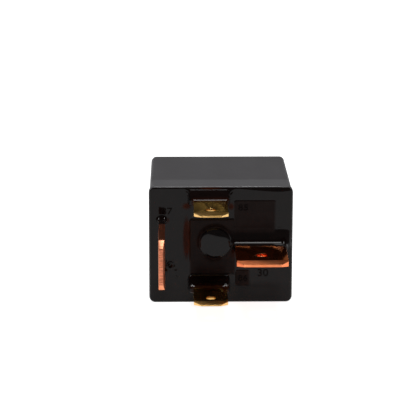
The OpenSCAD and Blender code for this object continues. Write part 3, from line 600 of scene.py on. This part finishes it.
# Orange-brown colour of the painted reflections of the blades
reflection_colour = steps(graph, cloud, (0.3, (0.034, 0.006, 0.001)), (0.7, (0.066, 0.013, 0.003)))
wire(graph, shader,
     Base_Color=mixed(graph, reflection_share, mixed(graph, padded, black, brown), reflection_colour),
     Roughness=between(graph, padded, 0.05, 0.2),
     Specular_IOR_Level=between(graph, maths(graph, "MAXIMUM", reflection_share, padded), 0.148, 0.035),
     Normal=relief(graph, ripple, 0.004 * mm))
dress(resin, resin_finish, ["resin_seal"])

# %% [markdown]
# ## Skin of resin on the core boss
# The middle of the base plate stands out as a round boss, over the riveted end of the
# magnet's core. The resin wets it too. A profile turned about the boss's axis gives it a
# flat face and one soft edge. The wet film on it is a little swollen, far less than can be
# cut in a mesh, so the swell is a bump whose height falls with the square of the distance
# from the middle. The film has run to the upper right, so only that half is swollen.

# %% Boss skin
def turned_profile(points, centre, count):
    """Rings of a profile of (radius, y) pairs, turned about an axis along Y at centre (x, z)."""
    angle = np.linspace(0, 2 * math.pi, count, endpoint=False)
    points = np.array(points)
    return np.stack([centre[0] + points[:, :1] * np.cos(angle), np.repeat(points[:, 1:], count, 1),
                     centre[1] + points[:, :1] * np.sin(angle)], -1)


edge, skin, skin_front, skin_back, skin_hole = 0.62, 0.02, boss_top - 0.01, 0.9, 0.4
outline = [(radius, skin_front) for radius in (skin_hole, 1.4, boss_radius - edge - 0.3)]
outline += [(boss_radius + skin - edge + edge * math.sin(a), boss_top - skin + edge - edge * math.cos(a))
            for a in np.radians(np.linspace(4, 90, 12))]
outline += [(boss_radius + skin, 0.0), (boss_radius + skin, skin_back), (skin_hole, skin_back)]
boss_skin = piece_from_grid("boss_skin", turned_profile(outline, boss_at, 96) * mm, caps=True)

swell_radius, swell_lean = 9.7 * mm, math.radians(12)
swollen_finish, graph, shader = new_finish("resin_on_boss", IOR=1.5, Roughness=0.06)
shader.inputs["Specular IOR Level"].default_value = 0.165
spot = place(graph)
tilted = add(graph, "VectorMath", {0: spot, 1: (math.sin(swell_lean), 0, math.cos(swell_lean))},
             operation="DOT_PRODUCT").outputs["Value"]
middle = (boss_at[0] * math.sin(swell_lean) + boss_at[1] * math.cos(swell_lean)) * mm
upper_half = maths(graph, "MAXIMUM", maths(graph, "SUBTRACT", tilted, middle), 0.0)
square = maths(graph, "MULTIPLY", upper_half, upper_half)
swell = maths(graph, "MULTIPLY", square, -0.5 / swell_radius)
wire(graph, shader,
     Base_Color=steps(graph, noise(graph, spot, 1.6 * mm, 4.0),
                      (0.35, (0.0060, 0.0040, 0.0042)), (0.7, (0.0090, 0.0060, 0.0062))),
     Normal=relief(graph, swell, 1.0))
dress(boss_skin, swollen_finish)

# %% [markdown]
# ## Blades
# The blades are stamped from strip. Stamping leaves the upper edge slightly rolled over,
# so no edge on them is truly sharp. The measured solid already has the cut corners, the
# lead-in and the hole, so a copy of its mesh is merged and gets small bevels, and the
# copy stands for the solid.

# %% Soft edges on a copy of a solid
bevel_segments, sharpest = 3, math.radians(28)


def softened(node, name, radius):
    """A merged copy of a solid's mesh; its edges over the sharpest angle get a bevel of that radius in mm."""
    mesh = nodes[node].data.copy()
    mesh.name = name
    shape = bmesh.new()
    shape.from_mesh(mesh)
    bmesh.ops.remove_doubles(shape, verts=shape.verts, dist=0.002 * mm)
    bmesh.ops.dissolve_limit(shape, angle_limit=math.radians(0.6), verts=shape.verts, edges=shape.edges)
    shape.to_mesh(mesh)
    shape.free()
    mesh.polygons.foreach_set("use_smooth", np.ones(len(mesh.polygons), bool))
    piece = bpy.data.objects.new(name, mesh)
    bpy.context.scene.collection.objects.link(piece)
    bevel = piece.modifiers.new("rolled_edges", "BEVEL")
    bevel.width, bevel.segments = radius * mm, bevel_segments
    bevel.limit_method, bevel.angle_limit = "ANGLE", sharpest
    bevel.harden_normals = True
    return piece


print("edges are softened on copies, and the solids stay as they are")

# %% [markdown]
# ## Brass and copper
# Bare strip is a mirror that has been rubbed: its own colour, a low roughness, and fine
# lines from rolling and from the comb of the stamping tool. The lines come from noise that
# is stretched a hundredfold in one direction. Handling leaves wide, faint smears that are
# a little rougher and browner. The cut corners are found by their normal, which lies
# between two axes there, and get a painted highlight. The rib valleys get painted shade.

# %% Finish: strip metal
blade_length, lead_in = -solid_box[0][1] / mm, 1.8


def strip_metal(name, bright, dull, edge_tint, painted_highlight_colour, lines=(250, 9000, 9000), rough=(0.16, 0.34),
                line_depth=0.0035, line_share=0.25, ribs_along=(500, 7000, 7000), cut_axis="X",
                tip_rough=(0.30, 0.50), groove_shade_depth=0.6):
    """Rolled strip: bright metal with rolling lines, smears of duller metal and tiny dents.
    edge_tint is what its mirror image is coloured by where it is seen at a flat angle.
    The last stretch before the tip was coined to its wedge, so it is ribbed and rougher,
    and its corners were cut off later, so they are smooth and get a painted highlight.
    The last argument is how dark the painted shade in the rib valleys is, line_share how
    dull the rolling lines are, and cut_axis the axis towards which the cut corners face aslant."""
    finish, graph, shader = new_finish(name, Metallic=1.0, Specular_Tint=(*edge_tint, 1))
    spot = place(graph)
    rolled = add(graph, "TexNoise", {"Vector": place(graph, lines), "Scale": 1.0, "Detail": 3.0}).outputs["Fac"]
    smear = noise(graph, place(graph, (1, 0.5, 1)), 2.2 * mm, 4.0, 0.6)
    dents = add(graph, "TexVoronoi", {"Vector": spot, "Scale": 1 / (0.5 * mm)}).outputs["Distance"]
    speck = steps(graph, dents, (0.0, 1.0), (0.16, 0.0))
    colour = mixed(graph, steps(graph, smear, (0.35, 0.0), (0.72, 1.0)), bright, dull)
    along_blade = add(graph, "SeparateXYZ", {0: spot}).outputs["Y"]
    coined = add(graph, "MapRange", {"Value": along_blade, "From Min": -(blade_length - lead_in) * mm,
                                     "From Max": -(blade_length - lead_in + 0.1) * mm}).outputs[0]
    ribs = add(graph, "TexNoise", {"Vector": place(graph, ribs_along), "Scale": 1.0, "Detail": 2.0}).outputs["Fac"]
    facing = add(graph, "SeparateXYZ", {0: add(graph, "TexCoord").outputs["Normal"]}).outputs[cut_axis]
    aslant = steps(graph, maths(graph, "ABSOLUTE", facing, 0.0), (0.45, 0.0), (0.52, 1.0), (0.88, 1.0), (0.95, 0.0))
    cut = maths(graph, "MULTIPLY", aslant, coined)
    # Painted shade in the valleys of the ribs: a darker copy of the dull colour
    groove_shade = maths(graph, "MULTIPLY", steps(graph, ribs, (0.40, 1.0), (0.58, 0.0)), coined)
    groove_shade = maths(graph, "MULTIPLY", groove_shade, maths(graph, "SUBTRACT", 1.0, cut))
    groove_shade = maths(graph, "MULTIPLY", groove_shade, groove_shade_depth)
    lined = mixed(graph, between(graph, rolled, 0.0, line_share), colour, dull)
    groove_shaded = mixed(graph, groove_shade, lined, tuple(0.35 * v for v in dull))
    ribbed = relief(graph, maths(graph, "MULTIPLY", ribs, coined), 0.03 * mm, relief(graph, speck, -0.006 * mm))
    wire(graph, shader,
         # The cut corners take a lighter colour, which is a painted highlight
         Base_Color=mixed(graph, cut, groove_shaded, painted_highlight_colour),
         Roughness=mixed_value(graph, coined, between(graph, smear, *rough), between(graph, ribs, *tip_rough)),
         Normal=relief(graph, rolled, line_depth * mm, ribbed))
    return finish


# Bright, dull and edge colour, then the lighter colour of the painted highlight on the cut corners
brass_finish = strip_metal("brass_strip", (0.72, 0.45, 0.17), (0.54, 0.32, 0.10), (0.95, 0.78, 0.44),
                           (0.96, 0.62, 0.25), rough=(0.17, 0.27), groove_shade_depth=0.3)
copper_finish = strip_metal("copper_strip", (0.98, 0.34, 0.15), (0.84, 0.22, 0.08), (1.0, 0.62, 0.42),
                            (1.0, 0.30, 0.13), rough=(0.13, 0.21), groove_shade_depth=0.2)
sheared_finish = strip_metal("copper_strip_upright", (0.98, 0.40, 0.24), (0.62, 0.18, 0.09), (1.0, 0.66, 0.50),
                             (0.92, 0.38, 0.21), lines=(500, 1500, 5200), rough=(0.26, 0.40), line_depth=0.012,
                             line_share=0.8, ribs_along=(900, 5600, 5600), cut_axis="Z", tip_rough=(0.38, 0.56))
print("strip finishes:", brass_finish.name, copper_finish.name, sheared_finish.name)

# %% [markdown]
# The upright blade's tip is coined a little blunter than the others, and more on one side.
# Its width is a function of the distance from the tip, so the copy's points are moved
# sideways by a formula, before the bevel follows them.

# %% Blades in place
def blunted(piece, node, tip_share, shift):
    """Widens the tip of an upright blade to that share of its thickness, and shifts it sideways in mm.
    The tip's sides stay flat, because each point moves in line with its distance from the tip."""
    points = points_of(piece.data) / mm
    centre, half = (values[0] for values in section(node))
    tip_half = np.abs(points[points[:, 1] < 0.01 - blade_length, 0] - centre).max()
    share = np.clip((-points[:, 1] - blade_length + lead_in) / lead_in, 0, 1)
    was, now = half + (tip_half - half) * share, half * (1 + (tip_share - 1) * share)
    points[:, 0] = np.where(share > 0, centre + (points[:, 0] - centre) * now / was + shift * share, points[:, 0])
    piece.data.vertices.foreach_set("co", (points * mm).ravel())
    piece.data.update()
    return piece


for node, name, finish, slot, radius in (("terminal_85", "blade_85", brass_finish, "brass_blade", 0.08),
                                         ("terminal_86", "blade_86", brass_finish, "brass_blade", 0.08),
                                         ("terminal_30", "blade_30", copper_finish, "copper_blade", 0.13),
                                         ("terminal_87", "blade_87", sheared_finish, "copper_blade", 0.13)):
    blade = softened(node, name, radius)
    dress(blunted(blade, node, 0.62, -0.10) if node == "terminal_87" else blade, finish, [node])

# %% [markdown]
# ## Terminal numbers
# Every relay of this kind has the standard numbers of its terminals moulded beside the
# blades. Here they lie under the resin and show as faint, soft, raised figures. Plain
# text is turned into a mesh first, and only then moved to its place.

# %% Number marks
figure_height = 0.14


def number_mark(figures, x0, x1, z0, z1, y):
    """Raised figures that fill x0..x1 by z0..z1 on the face at y, all in mm."""
    curve = bpy.data.curves.new("mark_" + figures, "FONT")
    curve.body = figures
    curve.extrude, curve.bevel_depth, curve.bevel_resolution, curve.offset = 0.05, 0.02, 2, -0.012
    text = bpy.data.objects.new(curve.name, curve)
    bpy.context.scene.collection.objects.link(text)
    bpy.context.view_layer.update()
    mesh = bpy.data.meshes.new_from_object(text.evaluated_get(bpy.context.evaluated_depsgraph_get()))
    bpy.data.objects.remove(text)
    points = points_of(mesh)
    lowest, highest = points.min(0), points.max(0)
    share = (points - lowest) / (highest - lowest)
    placed = np.stack([x0 + share[:, 0] * (x1 - x0), y - (share[:, 2] - 0.5) * figure_height,
                       z0 + share[:, 1] * (z1 - z0)], -1) * mm
    mesh.vertices.foreach_set("co", placed.ravel())
    mesh.update()
    piece = bpy.data.objects.new("mark_" + figures, mesh)
    bpy.context.scene.collection.objects.link(piece)
    return dress(piece, mark_finish)


mark_finish, graph, shader = new_finish("resin_over_figures", IOR=1.5, Roughness=0.16)
shader.inputs["Specular IOR Level"].default_value = 0.03
wire(graph, shader, Base_Color=steps(graph, noise(graph, place(graph), 0.5 * mm, 3.0),
                                     (0.35, (0.0040, 0.0022, 0.0020)), (0.7, (0.0120, 0.0060, 0.0050))))
number_mark("85", 3.25, 5.1, 6.75, 7.95, face_y - film - 0.12)
number_mark("86", 3.3, 5.05, -7.1, -5.95, face_y - film - 0.09)
number_mark("30", 7.0, 9.0, -6.2, -4.8, face_y - film - 0.02)
number_mark("87", -11.2, -9.1, 6.0, 7.3, face_y - film - 0.02)

# %% [markdown]
# ## Winding
# The coil is several hundred turns of enamelled copper wire. Only the outer layer shows,
# and from outside it is one cylinder with a fine thread. The radius is the layer's radius
# plus a row of half circles, and the row is shifted a little with the angle, so that the
# ridges run as one continuous screw.

# %% Winding surface
wind_low, wind_high = (np.array(corner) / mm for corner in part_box("winding"))
wind_at = (wind_low + wind_high)[[0, 2]] / 2
wind_radius = (wind_high - wind_low)[0] / 2
wire_gap, ridge_height, around_count, per_turn = 0.18, 0.08, 72, 5
turns = int((wind_high[1] - wind_low[1]) / wire_gap)
angle = np.linspace(0, 2 * math.pi, around_count, endpoint=False)
along = np.linspace(wind_low[1], wind_high[1], turns * per_turn + 1)
phase = (along[:, None] - wind_low[1]) / wire_gap + angle[None, :] / (2 * math.pi)
ridge = np.sqrt(np.maximum(1 - (2 * (phase % 1) - 1) ** 2, 0))
radius = wind_radius - ridge_height + ridge_height * ridge
wound = np.stack([wind_at[0] + radius * np.cos(angle), np.repeat(along[:, None], around_count, 1),
                  wind_at[1] + radius * np.sin(angle)], -1)
inner_radius = 2.6
ends = [np.stack([wind_at[0] + inner_radius * np.cos(angle), np.full(around_count, y),
                  wind_at[1] + inner_radius * np.sin(angle)], -1) for y in (wind_low[1], wind_high[1])]
winding = piece_from_grid("wound_wire", np.concatenate([[ends[0]], wound, [ends[1]]]) * mm, loop_rows=True)

wire_finish, graph, shader = new_finish("enamelled_wire", Metallic=1.0, Coat_Weight=0.7, Coat_Roughness=0.08)
shade = noise(graph, place(graph, (0.4, 6, 0.4)), 1.0 * mm, 3.0)
wire(graph, shader,
     Base_Color=steps(graph, shade, (0.3, (0.36, 0.09, 0.03)), (0.7, (0.60, 0.19, 0.06))),
     Roughness=between(graph, shade, 0.22, 0.38),
     Normal=relief(graph, noise(graph, place(graph), 0.1 * mm), 0.002 * mm))
dress(winding, wire_finish, ["winding"])

# %% [markdown]
# ## Finishes of the parts inside
# The magnet and the contacts are closed in, and they show only when the case is taken off.
# Each still gets the finish of its real metal or plastic: zinc-grey soft iron with a fine
# satin, silver contacts, bronze leaf, spring wire, natural nylon for the bobbin and woven
# copper for the lead. Their solids are right as they are, so only the material changes.

# %% Finishes: metals inside
def worked_metal(name, bright, dull, lines, rough, depth, spot_size):
    """Metal that was ground or drawn along one axis: stretched noise, and wide spots of duller metal."""
    finish, graph, shader = new_finish(name, Metallic=1.0)
    drawn = add(graph, "TexNoise", {"Vector": place(graph, lines), "Scale": 1.0, "Detail": 4.0}).outputs["Fac"]
    spots = noise(graph, place(graph), spot_size * mm, 5.0, 0.6)
    wire(graph, shader,
         Base_Color=mixed(graph, steps(graph, spots, (0.35, 0.0), (0.75, 1.0)), bright, dull),
         Roughness=between(graph, drawn, *rough),
         Normal=relief(graph, drawn, depth * mm))
    return finish


def moulded(name, dark, light, rough, grain_size, depth, **sockets):
    """Moulded plastic: a flow of two near shades and a fine grain."""
    finish, graph, shader = new_finish(name, **sockets)
    flow = noise(graph, place(graph, (1, 0.4, 1)), 4 * mm, 4.0)
    wire(graph, shader,
         Base_Color=steps(graph, flow, (0.3, dark), (0.7, light)),
         Roughness=between(graph, flow, *rough),
         Normal=relief(graph, noise(graph, place(graph), grain_size * mm, 3.0), depth * mm))
    return finish


# Bright and dull colour, stretch of the lines, roughness, depth of the lines, size of the spots
metals = {
    "soft_iron": ((0.55, 0.55, 0.56), (0.40, 0.40, 0.42), (9000, 300, 9000), (0.28, 0.48), 0.004, 1.5),
    "rivet_steel": ((0.50, 0.50, 0.52), (0.34, 0.34, 0.36), (4000, 4000, 4000), (0.25, 0.5), 0.005, 0.6),
    "spring_steel": ((0.48, 0.47, 0.46), (0.30, 0.28, 0.27), (6000, 900, 900), (0.2, 0.36), 0.002, 0.8),
    "leaf_bronze": ((0.80, 0.50, 0.27), (0.60, 0.33, 0.16), (300, 9000, 9000), (0.2, 0.36), 0.003, 1.5),
    "contact_alloy": ((0.88, 0.87, 0.85), (0.70, 0.68, 0.64), (3000, 3000, 3000), (0.18, 0.4), 0.006, 0.5),
}
inside = {slot: worked_metal(slot, *values) for slot, values in metals.items()}
inside["brass_blade"] = brass_finish
inside["enamelled_wire"] = wire_finish
inside["base_plastic"] = moulded("base_plastic", (0.018, 0.015, 0.014), (0.030, 0.025, 0.023), (0.38, 0.52), 0.2, 0.01)
inside["bobbin_plastic"] = moulded("bobbin_plastic", (0.62, 0.58, 0.47), (0.74, 0.70, 0.60), (0.34, 0.46),
                                   0.25, 0.008, Subsurface_Weight=0.15)
print("inside finishes:", len(inside))

# %% [markdown]
# Woven copper is two sets of strands that cross at a slant. Two wave patterns at opposite
# slants, of which the higher one wins, give the over-and-under look of a braid.

# %% Finish: braid
braid_finish, graph, shader = new_finish("braid_copper", Metallic=1.0)
strands = []
for slant in (1, -1):
    turned = add(graph, "Mapping", {"Vector": add(graph, "TexCoord").outputs["Object"],
                                    "Rotation": (0, 0, slant * math.radians(38))}).outputs[0]
    strands.append(add(graph, "TexWave", {"Vector": turned, "Scale": 1 / (0.9 * mm), "Distortion": 0.6,
                                          "Detail": 1.0}).outputs["Fac"])
weave = maths(graph, "MAXIMUM", *strands)
wire(graph, shader,
     Base_Color=steps(graph, weave, (0.2, (0.35, 0.11, 0.05)), (0.8, (0.88, 0.40, 0.22))),
     Roughness=between(graph, weave, 0.45, 0.25),
     Normal=relief(graph, weave, 0.05 * mm))
inside["braid_copper"] = braid_finish

slots = {part["node"]: part["material_slot"] for part in frame["record"]["subparts"]}
done = []
for node, solid in nodes.items():
    finish = inside.get(slots.get(node))
    if finish is not None and not solid.hide_render:
        solid.data.materials.clear()
        solid.data.materials.append(finish)
        done.append(node)
print("finished inside:", sorted(done))

# %% [markdown]
# ## Floor and light
# The relay stands on a white sweep under one softbox, high above it. The sweep is lit only
# dimly, so a share of plain white is added where the camera looks straight at it, and a
# smaller share where a mirror or clear plastic shows it. The shadow is still there, and
# black resin and bare metal mirror a soft sweep and not a glare.

# %% Floor
floor_level = solid_box[0][2]
seen_share, mirrored_share, through_share = 0.90, 0.75, 0.80
floor_mesh = bpy.data.meshes.new("sweep")
reach = 4.0
floor_mesh.from_pydata([(-reach, -reach, floor_level), (reach, -reach, floor_level),
                        (reach, reach, floor_level), (-reach, reach, floor_level)], [], [(0, 1, 2, 3)])
floor = bpy.data.objects.new("sweep", floor_mesh)
bpy.context.scene.collection.objects.link(floor)
paper = bpy.data.materials.new("white_paper")
paper.use_nodes = True
graph = paper.node_tree
graph.nodes.clear()
fibre = noise(graph, place(graph), 0.6 * mm, 4.0)
dim = add(graph, "BsdfDiffuse", {"Color": steps(graph, fibre, (0.3, 0.80), (0.7, 0.83))})
rays = add(graph, "LightPath")
seen = maths(graph, "MULTIPLY", rays.outputs["Is Camera Ray"], seen_share)
mirrored = maths(graph, "MULTIPLY", rays.outputs["Is Glossy Ray"], mirrored_share)
through = maths(graph, "MULTIPLY", rays.outputs["Is Transmission Ray"], through_share)
total = maths(graph, "ADD", maths(graph, "ADD", seen, mirrored), through)
white = add(graph, "Emission", {"Color": (1, 1, 1, 1), "Strength": total})
both = add(graph, "AddShader", {0: dim.outputs[0], 1: white.outputs[0]})
graph.links.new(both.outputs[0], add(graph, "OutputMaterial").inputs["Surface"])
floor_mesh.materials.append(paper)
print("floor at", round(floor_level / mm, 2), "mm")

# %% [markdown]
# The room is white where the camera looks straight at it and dim everywhere else. Its
# ceiling, which only a mirror shows, is black, so the steep flanks of the resin stay black
# too. How high a ray looks is the Z part of its direction, which the world reads as
# Generated.

# %% Room light
room_level, ceiling_level = 0.16, 0.01
ceiling_starts, ceiling_full = 0.30, 0.50
world = bpy.data.worlds.new("studio")
bpy.context.scene.world = world
world.use_nodes = True
graph = world.node_tree
graph.nodes.clear()
rays = add(graph, "LightPath")
straight = maths(graph, "MAXIMUM", rays.outputs["Is Camera Ray"], rays.outputs["Is Transmission Ray"])
height_seen = add(graph, "SeparateXYZ", {0: add(graph, "TexCoord").outputs["Generated"]}).outputs["Z"]
ceiling = add(graph, "MapRange", {"Value": height_seen, "From Min": ceiling_starts,
                                  "From Max": ceiling_full}).outputs[0]
mirrored_high = maths(graph, "MULTIPLY", ceiling, rays.outputs["Is Glossy Ray"])
level = mixed_value(graph, straight, between(graph, mirrored_high, room_level, ceiling_level), 1.0)
room = add(graph, "Background", {"Color": (1, 1, 1, 1), "Strength": level})
graph.links.new(room.outputs[0], add(graph, "OutputWorld").inputs["Surface"])
print("room light ready")

# %% [markdown]
# The lamp hangs a metre above the relay and looks down on it. It is given by the brightness
# of its surface, because that is what a mirror shows, whatever the lamp's size.

# %% Softbox
def softbox(name, place_at, look_at, width, length, brightness):
    """A flat lamp whose surface has that brightness; a lamp's power is brightness by area by pi."""
    lamp = bpy.data.lights.new(name, "AREA")
    lamp.shape, lamp.size, lamp.size_y = "RECTANGLE", width, length
    lamp.energy = brightness * width * length * math.pi
    held = bpy.data.objects.new(name, lamp)
    bpy.context.scene.collection.objects.link(held)
    aim = (Vector(look_at) - Vector(place_at)).to_track_quat("-Z", "Y")
    held.matrix_world = Matrix.Translation(place_at) @ aim.to_matrix().to_4x4()
    print(f"softbox {name}: {lamp.energy:.2f} W")


softbox("overhead", (0.0, -0.05, 1.0), (0, 0, 0), 0.36, 0.30, 15.0)

# %% [markdown]
# ## View
# The view transform is Standard, so a colour is shown as it is written.

# %% Finish
bpy.context.scene.view_settings.view_transform = "Standard"
